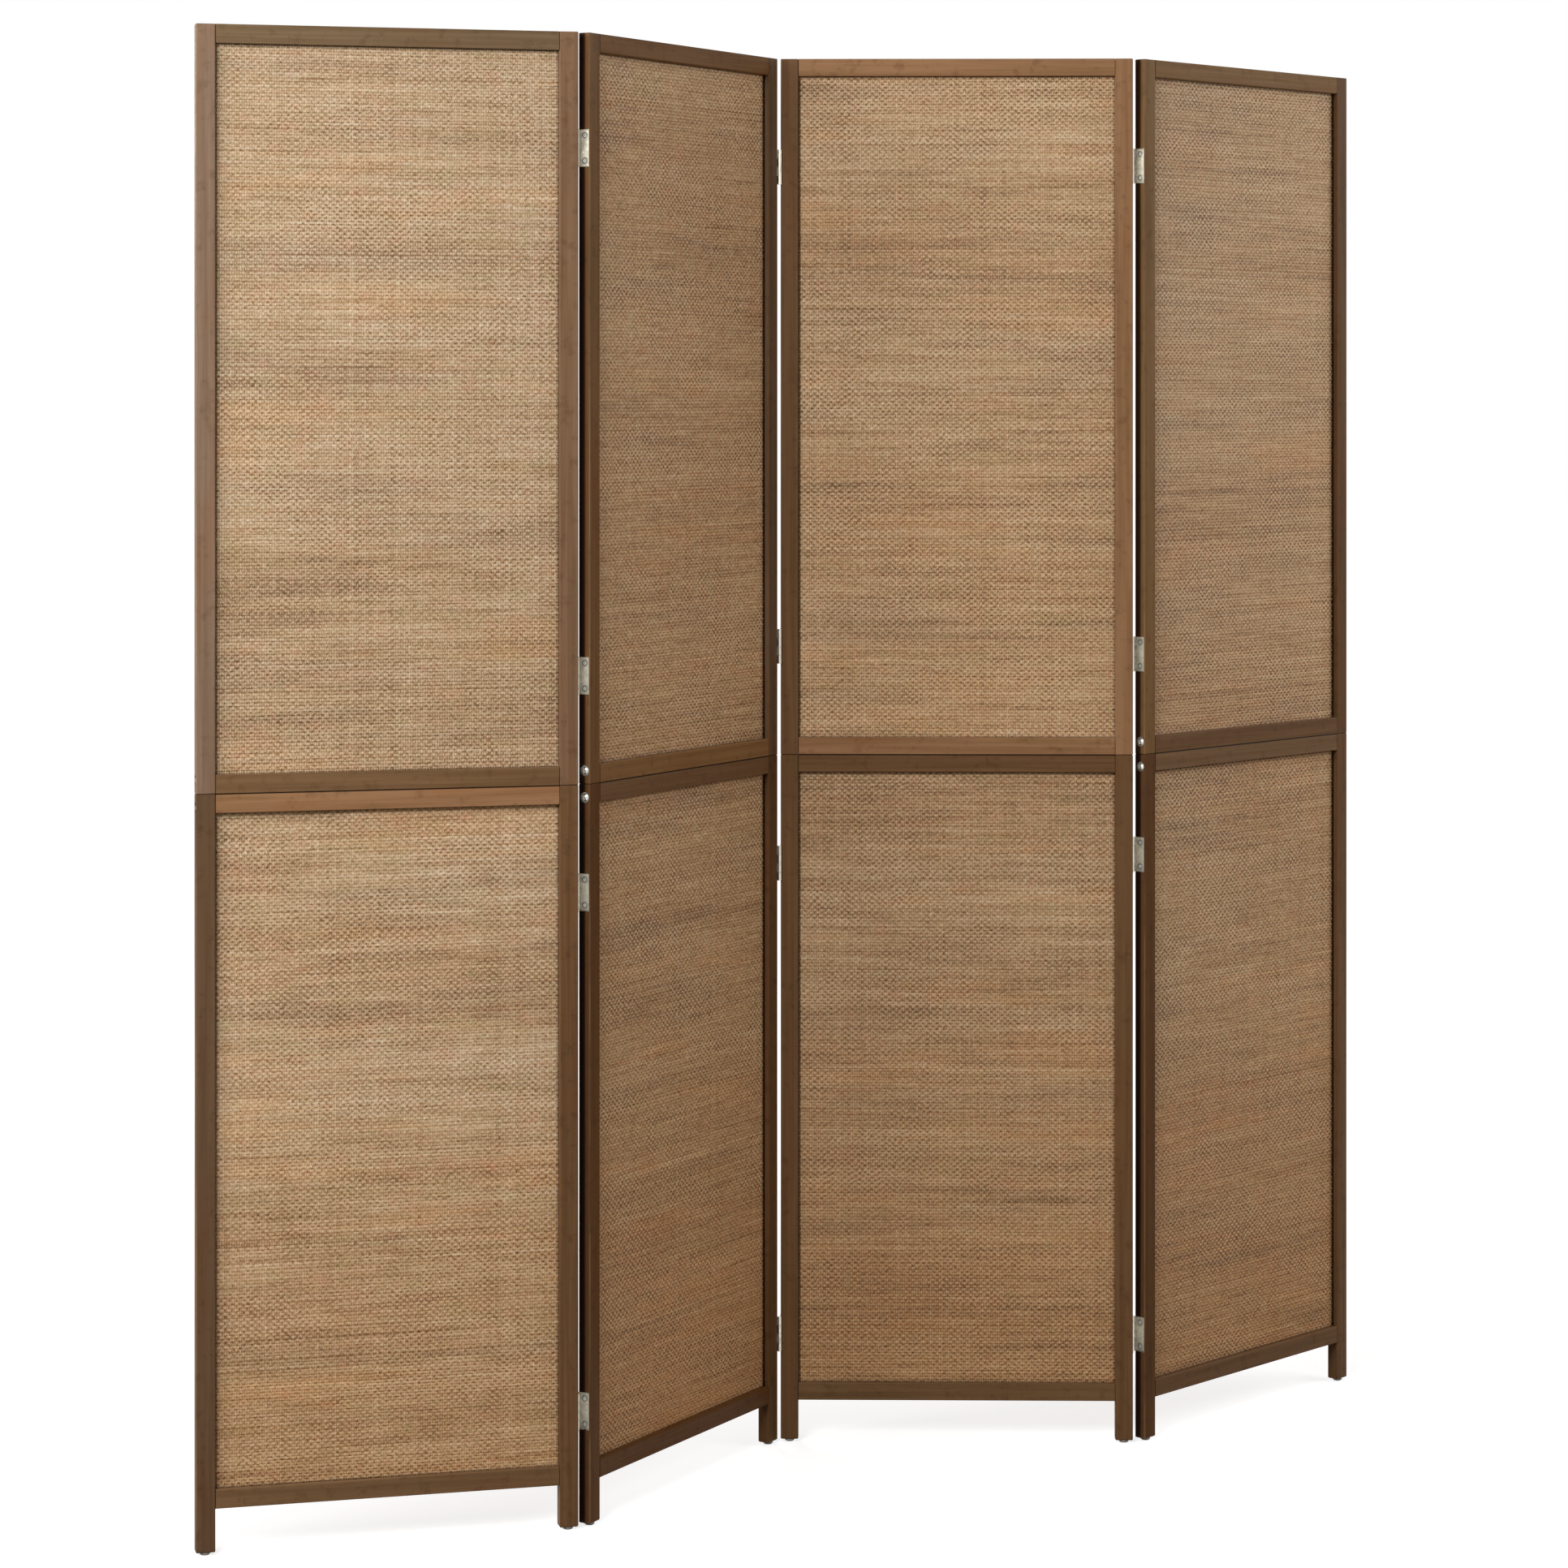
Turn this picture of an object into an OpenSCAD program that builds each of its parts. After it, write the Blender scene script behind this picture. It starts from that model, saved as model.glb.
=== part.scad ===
// Four-panel folding screen: wooden frames in two sections each, with woven bamboo mats.
// Panel 3 lies along X. The front faces -Y and Z points up. All sizes are in millimetres.

/* [Screen] */
// Height from the floor to the top of the stiles
screen_h = 1800; // [1500:1:2100]
// Width of one panel
panel_w = 458; // [300:1:600]
// Height of the seam between the lower and the upper sections
seam_z = 894.5; // [750:0.5:1000]
// Height of the bottom rail's underside above the floor
leg_clear = 54.5; // [40:0.5:120]

/* [Frame members] */
// Thickness of every frame member, front to back
frame_t = 16; // [16:0.5:22]
// Width of the stiles, seen from the front
stile_w = 23; // [23:0.5:36]
// Height of the rails, seen from the front
rail_h = 22.6; // [20:0.1:40]
// Radius of the eased long edges
arris_r = 1.2; // [0.4:0.1:1.6]
// Chamfer round the sawn ends of the stiles
end_chamfer = 1; // [0.4:0.1:2]
// Chamfer round the foot of each leg
foot_chamfer = 1.4; // [0.4:0.1:2]

/* [Mats] */
// Thickness of the woven mats
mat_t = 3.2; // [2:0.1:5]
// Depth of the groove that holds the mat
groove_d = 6; // [4:0.5:8]
// Space left round the mat inside its groove
mat_play = 0.2; // [0.1:0.05:0.5]
// Space between the mat's edge and the groove's floor
mat_end_play = 1; // [0.5:0.1:2]

/* [Rail tenons] */
// Length of the tenon at each end of a rail
tenon_l = 7.5; // [5:0.5:8]
// Thickness of the tenon, front to back
tenon_t = 6; // [4:0.5:8]
// Shoulder above and below the tenon
tenon_shoulder = 3; // [2:0.5:5]
// Space round the tenon in its mortise
tenon_play = 0.1; // [0.05:0.05:0.3]

/* [Section joint] */
// Length of the steel plate hidden in the stiles across the seam
plate_l = 60; // [50:1:90]
// Width of the plate, front to back
plate_w = 11; // [9:0.5:11.5]
// Thickness of the plate
plate_t = 3; // [2:0.5:3.5]
// Depth of the plate below the stile's outer edge
plate_in = 9; // [7:0.5:9.5]
// Distance of each joint screw from the seam
join_screw_z = 16.2; // [12:0.1:22]
// Radius of the joint screw's flange
join_flange_r = 6.5; // [5:0.1:6.5]
// Thickness of the flange
join_flange_t = 1; // [0.6:0.1:1.5]
// Radius of the domed head
join_head_r = 4.5; // [3.5:0.1:4.8]
// Height of the domed head above the flange
join_head_h = 1.8; // [1.2:0.1:2.2]
// Radius of the joint screw's shank
join_shank_r = 2.5; // [2:0.25:3]
// Length of the joint screw past the plate
join_tip = 1.5; // [0.5:0.1:2]
// Reach of the joint screw's cross recess from its axis
join_recess_reach = 2.7; // [2:0.1:3]

/* [Hinges] */
// Height of one hinge
hinge_h = 45; // [40:1:76]
// Knuckles on one hinge, both leaves together
knuckle_n = 4; // [3:1:6]
// Outer radius of the knuckles
knuckle_r = 2.6; // [2.3:0.05:2.8]
// Radius of the hinge pin
pin_r = 1.2; // [0.8:0.05:1.5]
// Running clearance between the pin and the knuckle
pin_play = 0.05; // [0.02:0.01:0.1]
// Gap between two knuckles
knuckle_gap = 0.25; // [0.15:0.05:0.5]
// Thickness of a leaf
leaf_t = 1; // [0.8:0.1:1.2]
// Width of frame edge left bare beside the leaf
leaf_margin = 1.2; // [1:0.1:4]
// Gap between two neighbouring stiles when the screen is straight
fold_gap = 2.6; // [2.4:0.1:5]
// Distance of the hinge pin's axis outside the frame's face
pin_out = 2.2; // [2.2:0.1:4]
// Centre of the outer folds' top hinges, below the top
hinge_from_top = 139; // [90:1:250]
// Centre of the outer folds' middle hinges, above and below the seam
hinge_from_seam = 130.5; // [90:0.5:250]
// Centre of the outer folds' lowest hinges, above the floor
hinge_from_floor = 139; // [100:1:250]
// Centre of the middle fold's hinges, from the ends of the sections
front_hinge_from_end = 141; // [90:1:250]
// Distance between the two screws of a leaf
leaf_screw_pitch = 31; // [26:0.5:36]
// Distance of the leaf's screws from its free edge
leaf_screw_in = 5.6; // [4:0.1:6]
// Radius of the hinge screw's countersunk head
leaf_head_r = 3.2; // [2.8:0.1:3.4]
// Radius of the hinge screw's shank
leaf_shank_r = 1.5; // [1:0.1:1.8]
// Length of the hinge screw
leaf_screw_l = 13; // [9:0.5:13]
// Length of the hinge screw's point
leaf_screw_point = 2.5; // [1:0.1:4]
// Reach of the hinge screw's cross recess from its axis
leaf_recess_reach = 1.9; // [1.2:0.1:2.4]
// Chamfer at both ends of the hinge pin
pin_bevel = 0.3; // [0.1:0.05:0.5]

/* [Leg glides] */
// Height of the glide under each leg
glide_h = 3.5; // [2:0.1:6]
// Radius of the glide where it meets the leg
glide_r = 6.2; // [5:0.1:6.4]
// Radius of the glide's flat, which stands on the floor
glide_foot_r = 4.8; // [4:0.1:4.8]
// Radius of the glide's nail
nail_r = 1.1; // [0.8:0.1:1.5]
// Length of the nail inside the leg
nail_l = 16; // [10:1:25]
// Length of the nail's point
nail_point = 2; // [1:0.5:4]

/* [Folds at rest] */
// Turn between panels 1 and 2, away from a straight line
fold_12_turn = 46; // [5:0.5:170]
// Turn between panels 2 and 3, away from a straight line
fold_23_turn = 61.5; // [5:0.5:170]
// Turn between panels 3 and 4, away from a straight line
fold_34_turn = 48.5; // [5:0.5:170]

/* [Hidden] */
$fn = 48;
PANELS = [1, 2, 3, 4];
// Names of the nodes that every panel has
PANEL_PARTS = [
    "upper_left_stile", "upper_right_stile", "upper_top_rail", "upper_bottom_rail", "upper_mat",
    "lower_left_stile", "lower_right_stile", "lower_top_rail", "lower_bottom_rail", "lower_mat",
    "join_plates", "screws", "glides", "hinge_leaves"
];

WOOD = [0.40, 0.29, 0.20];
RAIL_WOOD = [0.43, 0.32, 0.22];
BAMBOO = [0.72, 0.58, 0.42];
STEEL = [0.72, 0.72, 0.70];
PLASTIC = [0.45, 0.45, 0.45];

// Reach of a cutter past the surface that it opens
cut = 1;
// Distance between a screw or nail and the wood round it
wood_play = 0.1;
// Distance between a screw and the metal that it passes through
metal_play = 0.05;
// Deepening of a blind hole past the tip that it holds
tip_play = 0.5;
// Width of the cross recesses and the share of the head's height that they take
recess_w = 1;
recess_share = 0.65;
// Play between a knuckle and the leaf that turns beside it
knuckle_side_play = 0.25;

// Levels of the two sections, from their lower to their upper ends
upper_z = [seam_z, screen_h];
lower_z = [glide_h, seam_z];
// Undersides of the four rails
upper_top_rail_z = screen_h - rail_h;
upper_bottom_rail_z = seam_z;
lower_top_rail_z = seam_z - rail_h;
lower_bottom_rail_z = leg_clear;

rail_l = panel_w - 2 * stile_w;
tenon_h = rail_h - groove_d - 2 * tenon_shoulder;
groove_t = mat_t + 2 * mat_play;
mat_in = groove_d - mat_end_play;
pocket_d = join_flange_t + join_head_h;
leaf_w = pin_out + frame_t - leaf_margin;
// Distance from the pin's axis at which a leaf clears the other leaf's knuckles
leaf_clear = knuckle_r + knuckle_side_play;
knuckle_pitch = hinge_h / knuckle_n;
back_hinge_z = [
    hinge_from_floor, seam_z - hinge_from_seam, seam_z + hinge_from_seam, screen_h - hinge_from_top
];
front_hinge_z = [
    front_hinge_from_end, seam_z - front_hinge_from_end,
    seam_z + front_hinge_from_end, screen_h - front_hinge_from_end
];
// Centres of the hinges on one side of the screen, from the lowest up
function hinge_z(at_back) = at_back ? back_hinge_z : front_hinge_z;

// Plan of the screen at rest: the direction of each panel, counted from panel 3
panel_turn = [fold_23_turn - fold_12_turn, fold_23_turn, 0, fold_34_turn];
function along(a) = [cos(a), sin(a)];
function behind(a) = [-sin(a), cos(a)];
// Point of a panel at x from its left end and y behind its front face
function on_panel(origin, a, x, y) = origin + x * along(a) + y * behind(a);
// Origin of the panel whose point (x, y) is at the given place
function origin_for(place, a, x, y) = place - x * along(a) - y * behind(a);
left_axis_x = -fold_gap / 2;
right_axis_x = panel_w + fold_gap / 2;
front_axis_y = -pin_out;
back_axis_y = frame_t + pin_out;

raw_3 = [0, 0];
raw_axis_23 = on_panel(raw_3, panel_turn[2], left_axis_x, front_axis_y);
raw_2 = origin_for(raw_axis_23, panel_turn[1], right_axis_x, front_axis_y);
raw_axis_12 = on_panel(raw_2, panel_turn[1], left_axis_x, back_axis_y);
raw_1 = origin_for(raw_axis_12, panel_turn[0], right_axis_x, back_axis_y);
raw_axis_34 = on_panel(raw_3, panel_turn[2], right_axis_x, back_axis_y);
raw_4 = origin_for(raw_axis_34, panel_turn[3], left_axis_x, back_axis_y);
raw_origins = [raw_1, raw_2, raw_3, raw_4];

// Centre of the plan, which becomes the origin of the model
arris_centres = [
    for (i = [0 : 3]) for (x = [arris_r, panel_w - arris_r]) for (y = [arris_r, frame_t - arris_r])
        on_panel(raw_origins[i], panel_turn[i], x, y)
];
plan_x = [for (c = arris_centres) c[0]];
plan_y = [for (c = arris_centres) c[1]];
plan_centre = [(min(plan_x) + max(plan_x)) / 2, (min(plan_y) + max(plan_y)) / 2];

axis_12 = raw_axis_12 - plan_centre;
axis_23 = raw_axis_23 - plan_centre;
axis_34 = raw_axis_34 - plan_centre;

echo(axis_12 = axis_12, axis_23 = axis_23, axis_34 = axis_34);
echo(origins = [for (o = raw_origins) o - plan_centre]);

module place_panel(p) {
    origin = raw_origins[p - 1] - plan_centre;
    translate([origin[0], origin[1], 0]) rotate([0, 0, panel_turn[p - 1]]) children();
}

// Turns an outline in Y and Z into a bar along X
module along_x(length) {
    rotate([90, 0, 90]) linear_extrude(length) children();
}

// Turns an outline in X and Z into a slab along Y
module along_y(length) {
    translate([0, length, 0]) rotate([90, 0, 0]) linear_extrude(length) children();
}

module mirror_if(flip, plane) {
    if (flip) mirror(plane) children();
    else children();
}

// Places a child made for the left edge of a panel on its right edge instead, if asked
module mirror_edge(flip) {
    translate([flip ? panel_w : 0, 0, 0]) mirror_if(flip, [1, 0, 0]) children();
}

// Frame members

module eased_outline(width, depth, radius) {
    translate([radius, 0]) square([width - 2 * radius, depth]);
    translate([0, radius]) square([width, depth - 2 * radius]);
    for (x = [radius, width - radius]) for (y = [radius, depth - radius])
        translate([x, y]) circle(radius);
}

// Outline that cuts the corners off a bar's two ends
module end_outline(width, ends, low, high) {
    polygon([
        [low + cut, ends[0] - cut], [width - low - cut, ends[0] - cut],
        [width + cut, ends[0] + low + cut], [width + cut, ends[1] - high - cut],
        [width - high - cut, ends[1] + cut], [high + cut, ends[1] + cut],
        [-cut, ends[1] - high - cut], [-cut, ends[0] + low + cut]
    ]);
}

module stile_bar(ends, low, high) {
    intersection() {
        translate([0, 0, ends[0]]) linear_extrude(ends[1] - ends[0])
            eased_outline(stile_w, frame_t, arris_r);
        translate([0, -cut, 0]) along_y(frame_t + 2 * cut) end_outline(stile_w, ends, low, high);
        translate([-cut, 0, 0]) along_x(stile_w + 2 * cut) end_outline(frame_t, ends, low, high);
    }
}

// Groove in the inner edge, from inside one rail to inside the other
module stile_groove(low_rail_z, top_rail_z) {
    low = low_rail_z + rail_h - groove_d;
    translate([stile_w - groove_d, (frame_t - groove_t) / 2, low])
        cube([groove_d + cut, groove_t, top_rail_z + groove_d - low]);
}

// Height of the tenon's underside above the rail's: the groove is on the other side
function tenon_z(groove_up) = groove_up ? tenon_shoulder : groove_d + tenon_shoulder;

module mortise(rail_z, groove_up) {
    translate([
        stile_w - tenon_l - tip_play,
        (frame_t - tenon_t) / 2 - tenon_play,
        rail_z + tenon_z(groove_up) - tenon_play
    ])
        cube([tenon_l + tip_play + cut, tenon_t + 2 * tenon_play, tenon_h + 2 * tenon_play]);
}

// Slot for the joining plate, open at the seam
module plate_slot() {
    length = plate_l + 2 * tip_play;
    translate([plate_in, (frame_t - plate_w) / 2 - wood_play, seam_z - length / 2])
        cube([plate_t + 2 * wood_play, plate_w + 2 * wood_play, length]);
}

// Screw hole and pocket in the outer edge, beside the seam
module join_hole(z) {
    translate([0, frame_t / 2, z]) rotate([0, 90, 0]) {
        translate([0, 0, -cut]) cylinder(h = pocket_d + cut, r = join_flange_r + wood_play);
        cylinder(h = plate_in + plate_t + join_tip + tip_play, r = join_shank_r + wood_play);
    }
}

module nail_hole() {
    translate([stile_w / 2, frame_t / 2, glide_h - cut])
        cylinder(h = nail_l + tip_play + cut, r = nail_r + wood_play);
}

// Pilot holes for the hinge screws along one edge, at the listed heights
module pilot_holes(heights, at_back) {
    y = at_back ? back_axis_y - leaf_w + leaf_screw_in : front_axis_y + leaf_w - leaf_screw_in;
    for (z = heights) for (dz = [-leaf_screw_pitch / 2, leaf_screw_pitch / 2])
        translate([0, y, z + dz]) rotate([0, 90, 0]) {
            translate([0, 0, -cut])
                cylinder(h = leaf_screw_l - leaf_t + tip_play + cut, r = leaf_shank_r + wood_play);
            countersink(leaf_head_r - leaf_t + wood_play);
        }
}

// A left stile. A right stile is its mirror image.
module upper_stile(has_hinge, at_back) {
    color(WOOD) difference() {
        stile_bar(upper_z, end_chamfer, end_chamfer);
        stile_groove(upper_bottom_rail_z, upper_top_rail_z);
        mortise(upper_top_rail_z, false);
        mortise(upper_bottom_rail_z, true);
        plate_slot();
        join_hole(seam_z + join_screw_z);
        if (has_hinge) pilot_holes([hinge_z(at_back)[2], hinge_z(at_back)[3]], at_back);
    }
}

module lower_stile(has_hinge, at_back) {
    color(WOOD) difference() {
        stile_bar(lower_z, foot_chamfer, end_chamfer);
        stile_groove(lower_bottom_rail_z, lower_top_rail_z);
        mortise(lower_top_rail_z, false);
        mortise(lower_bottom_rail_z, true);
        plate_slot();
        join_hole(seam_z - join_screw_z);
        nail_hole();
        if (has_hinge) pilot_holes([hinge_z(at_back)[0], hinge_z(at_back)[1]], at_back);
    }
}

// A rail with its stub tenons and the groove for the mat, on its upper or its lower edge
module rail(rail_z, groove_up) {
    groove_z = groove_up ? rail_h - groove_d : -cut;
    color(RAIL_WOOD) translate([stile_w, 0, rail_z]) difference() {
        union() {
            along_x(rail_l) eased_outline(frame_t, rail_h, arris_r);
            translate([-tenon_l, (frame_t - tenon_t) / 2, tenon_z(groove_up)])
                cube([rail_l + 2 * tenon_l, tenon_t, tenon_h]);
        }
        translate([-tenon_l - cut, (frame_t - groove_t) / 2, groove_z])
            cube([rail_l + 2 * (tenon_l + cut), groove_t, groove_d + cut]);
    }
}

// The mat, held in the grooves on all four sides
module mat(low_rail_z, top_rail_z) {
    low = low_rail_z + rail_h - mat_in;
    color(BAMBOO) translate([stile_w - mat_in, (frame_t - mat_t) / 2, low])
        cube([rail_l + 2 * mat_in, mat_t, top_rail_z + mat_in - low]);
}

// Section joint

// Plates of both stiles, each with a threaded hole on either side of the seam
module join_plates() {
    color(STEEL) for (flip = [false, true]) mirror_edge(flip) difference() {
        translate([plate_in + wood_play, (frame_t - plate_w) / 2, seam_z - plate_l / 2])
            cube([plate_t, plate_w, plate_l]);
        for (dz = [-join_screw_z, join_screw_z])
            translate([plate_in - cut, frame_t / 2, seam_z + dz]) rotate([0, 90, 0])
                cylinder(h = plate_t + 2 * cut, r = join_shank_r + metal_play);
    }
}

// Cross-shaped recess, cut towards +Z from z = 0
module cross_recess(reach, depth) {
    for (turn = [0, 90]) rotate([0, 0, turn])
        translate([-reach, -recess_w / 2, -cut]) cube([2 * reach, recess_w, depth + cut]);
}

// Flanged screw with a domed head, pointing along +Z with the flange's seat at z = 0
module join_screw() {
    shank_l = plate_in + plate_t + join_tip - pocket_d;
    dome_r = (join_head_r * join_head_r + join_head_h * join_head_h) / (2 * join_head_h);
    difference() {
        union() {
            cylinder(h = shank_l, r = join_shank_r);
            translate([0, 0, -join_flange_t]) cylinder(h = join_flange_t, r = join_flange_r);
            intersection() {
                translate([0, 0, -pocket_d + dome_r]) sphere(dome_r);
                translate([0, 0, -pocket_d - cut])
                    cylinder(h = join_head_h + cut, r = join_head_r + cut);
            }
        }
        translate([0, 0, -pocket_d]) cross_recess(join_recess_reach, join_head_h * recess_share);
    }
}

module join_screws() {
    for (flip = [false, true]) mirror_edge(flip)
        for (dz = [-join_screw_z, join_screw_z])
            translate([pocket_d, frame_t / 2, seam_z + dz]) rotate([0, 90, 0]) join_screw();
}

// Hinges

// Places a child made for a hinge at the left edge and the back of a panel. The child's pin
// lies on the Z axis, the panel's edge at x = fold_gap / 2 and its back face at y = -pin_out.
module at_hinge(right_edge, at_back, z) {
    translate([
        right_edge ? right_axis_x : left_axis_x, at_back ? back_axis_y : front_axis_y, z - hinge_h / 2
    ])
        mirror_if(right_edge, [1, 0, 0]) mirror_if(!at_back, [0, 1, 0]) children();
}

// Leaf that carries every second knuckle, counted from the lowest or from the next
module hinge_leaf(first_knuckle) {
    leaf_x = fold_gap / 2 - leaf_t;
    difference() {
        union() {
            translate([leaf_x, -leaf_w, 0]) cube([leaf_t, leaf_w - leaf_clear, hinge_h]);
            for (k = [first_knuckle : 2 : knuckle_n - 1]) {
                low = k * knuckle_pitch + (k == 0 ? 0 : knuckle_gap / 2);
                high = (k + 1) * knuckle_pitch - (k == knuckle_n - 1 ? 0 : knuckle_gap / 2);
                translate([0, 0, low]) cylinder(h = high - low, r = knuckle_r);
                translate([leaf_x, -leaf_clear - cut, low])
                    cube([leaf_t, leaf_clear + cut, high - low]);
            }
        }
        translate([0, 0, -cut]) cylinder(h = hinge_h + 2 * cut, r = pin_r + pin_play);
        for (dz = [-leaf_screw_pitch / 2, leaf_screw_pitch / 2])
            translate([leaf_x, -leaf_w + leaf_screw_in, hinge_h / 2 + dz]) rotate([0, 90, 0]) {
                cylinder(h = leaf_t + cut, r = leaf_shank_r + metal_play);
                countersink(leaf_head_r + metal_play);
            }
    }
}

// Cone of 45 degrees under a countersunk head of the given radius at z = 0
module countersink(head_r) {
    rotate_extrude() polygon([[0, -cut], [head_r, -cut], [head_r, 0], [0, head_r]]);
}

// Countersunk screw pointing along +Z, its head level with z = 0
module leaf_screw() {
    head_l = leaf_head_r - leaf_shank_r;
    difference() {
        rotate_extrude() polygon([
            [0, 0], [leaf_head_r, 0], [leaf_shank_r, head_l],
            [leaf_shank_r, leaf_screw_l - leaf_screw_point], [0, leaf_screw_l]
        ]);
        cross_recess(leaf_recess_reach, head_l * recess_share);
    }
}

module leaf_screws(right_edge, at_back) {
    for (z = hinge_z(at_back)) at_hinge(right_edge, at_back, z)
        for (dz = [-leaf_screw_pitch / 2, leaf_screw_pitch / 2])
            translate([fold_gap / 2 - leaf_t, -leaf_w + leaf_screw_in, hinge_h / 2 + dz])
                rotate([0, 90, 0]) leaf_screw();
}

// Pin with a small chamfer at both ends
module hinge_pin() {
    rotate_extrude() polygon([
        [0, 0], [pin_r - pin_bevel, 0], [pin_r, pin_bevel],
        [pin_r, hinge_h - pin_bevel], [pin_r - pin_bevel, hinge_h], [0, hinge_h]
    ]);
}

module hinge_pins(right_edge, at_back) {
    color(STEEL) for (z = hinge_z(at_back)) at_hinge(right_edge, at_back, z) hinge_pin();
}

// Folds 1 and 3 have their pins behind the screen, fold 2 in front
function fold_at_back(fold) = fold % 2 == 1;
function has_left_hinge(p) = p > 1;
function has_right_hinge(p) = p < len(PANELS);

// A panel's leaves: the lowest knuckle is on the panel to the left of a fold
module hinge_leaves(p) {
    color(STEEL) {
        if (has_left_hinge(p)) for (z = hinge_z(fold_at_back(p - 1)))
            at_hinge(false, fold_at_back(p - 1), z) hinge_leaf(1);
        if (has_right_hinge(p)) for (z = hinge_z(fold_at_back(p)))
            at_hinge(true, fold_at_back(p), z) hinge_leaf(0);
    }
}

// All the cross-head screws of a panel
module screws(p) {
    color(STEEL) {
        join_screws();
        if (has_left_hinge(p)) leaf_screws(false, fold_at_back(p - 1));
        if (has_right_hinge(p)) leaf_screws(true, fold_at_back(p));
    }
}

// Leg glides

// Plastic head, chamfered towards the floor, on a nail
module glide() {
    nail_end = glide_h + nail_l;
    rotate_extrude() polygon([
        [0, 0], [glide_foot_r, 0], [glide_r, glide_r - glide_foot_r], [glide_r, glide_h],
        [nail_r, glide_h], [nail_r, nail_end - nail_point], [0, nail_end]
    ]);
}

module glides() {
    color(PLASTIC) for (x = [stile_w / 2, panel_w - stile_w / 2])
        translate([x, frame_t / 2, 0]) glide();
}

for (p = PANELS) place_panel(p) {
    prefix = str("panel_", p, "_");
    left = has_left_hinge(p);
    right = has_right_hinge(p);
    upper_stile(left, fold_at_back(p - 1));
    mirror_edge(true) upper_stile(right, fold_at_back(p));
    rail(upper_top_rail_z, false);
    rail(upper_bottom_rail_z, true);
    mat(upper_bottom_rail_z, upper_top_rail_z);
    lower_stile(left, fold_at_back(p - 1));
    mirror_edge(true) lower_stile(right, fold_at_back(p));
    rail(lower_top_rail_z, false);
    rail(lower_bottom_rail_z, true);
    mat(lower_bottom_rail_z, lower_top_rail_z);
    join_plates();
    screws(p);
    glides();
    hinge_leaves(p);
}
// The pins of the two outer folds sit in the leaves of panels 2 and 3
place_panel(2) hinge_pins(false, true);  // hinge_12_pins
place_panel(2) hinge_pins(true, false);  // hinge_23_pins
place_panel(3) hinge_pins(true, true);  // hinge_34_pins
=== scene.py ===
import math

import bpy
import numpy as np
from mathutils import Matrix, Vector


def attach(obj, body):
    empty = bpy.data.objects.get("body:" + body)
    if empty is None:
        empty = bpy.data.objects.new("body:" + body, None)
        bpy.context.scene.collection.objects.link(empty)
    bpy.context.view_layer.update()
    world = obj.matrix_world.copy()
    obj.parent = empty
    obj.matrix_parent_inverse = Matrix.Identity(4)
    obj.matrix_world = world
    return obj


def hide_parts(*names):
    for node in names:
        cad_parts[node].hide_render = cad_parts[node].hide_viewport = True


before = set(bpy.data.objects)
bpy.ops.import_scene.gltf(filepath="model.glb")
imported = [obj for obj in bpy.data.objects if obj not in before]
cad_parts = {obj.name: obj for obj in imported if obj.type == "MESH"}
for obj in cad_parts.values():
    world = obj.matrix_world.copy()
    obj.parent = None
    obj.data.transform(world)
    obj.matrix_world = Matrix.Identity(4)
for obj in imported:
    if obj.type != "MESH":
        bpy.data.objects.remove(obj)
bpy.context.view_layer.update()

MM = 0.001
PANELS = (1, 2, 3, 4)
SECTIONS = ("upper", "lower")

# How the panels stand in the zigzag: the turn about Z in degrees, and the left front corner
TURN = {1: 15.5, 2: 61.5, 3: 0.0, 4: 48.5}
CORNER = {
    1: (-0.72475932, -0.44902527),
    2: (-0.27041281, -0.31628643),
    3: (-0.04802040, 0.08850452),
    4: (0.42577200, 0.09561847),
}

# Sizes in a panel's own frame, in millimetres: x across, y from the front face back, z up
PANEL_W = 458.0
STILE_W = 23.0
SEAM_Z = 894.5
RAIL_GROOVE = 4.7
MAT_Y = 8.7
MAT_X = (18.3, 439.7)
MAT_Z = {"upper": (912.4, 1782.1), "lower": (72.4, 876.6)}

# The weave: wefts are the sticks across, and warps the flat strands that run up the mat
WEFT_PITCH = 3.8
WARP_PITCH = 2.95
WARPS = 140
WARP_X = PANEL_W / 2 + (np.arange(WARPS) - (WARPS - 1) / 2) * WARP_PITCH
WARP_PHASE = -2 * math.pi * WARP_X[0] / WARP_PITCH


def panel_matrix(p):
    """The place of panel p's own frame in the row frame."""
    x, y = CORNER[p]
    return Matrix.Translation((x, y, 0)) @ Matrix.Rotation(math.radians(TURN[p]), 4, "Z")


def srgb(r, g, b):
    """A colour written in 0-255 sRGB, as linear RGBA."""
    def part(v):
        v /= 255
        return v / 12.92 if v <= 0.04045 else ((v + 0.055) / 1.055) ** 2.4
    return (part(r), part(g), part(b), 1.0)


# ---------------------------------------------------------------- node helpers


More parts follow.
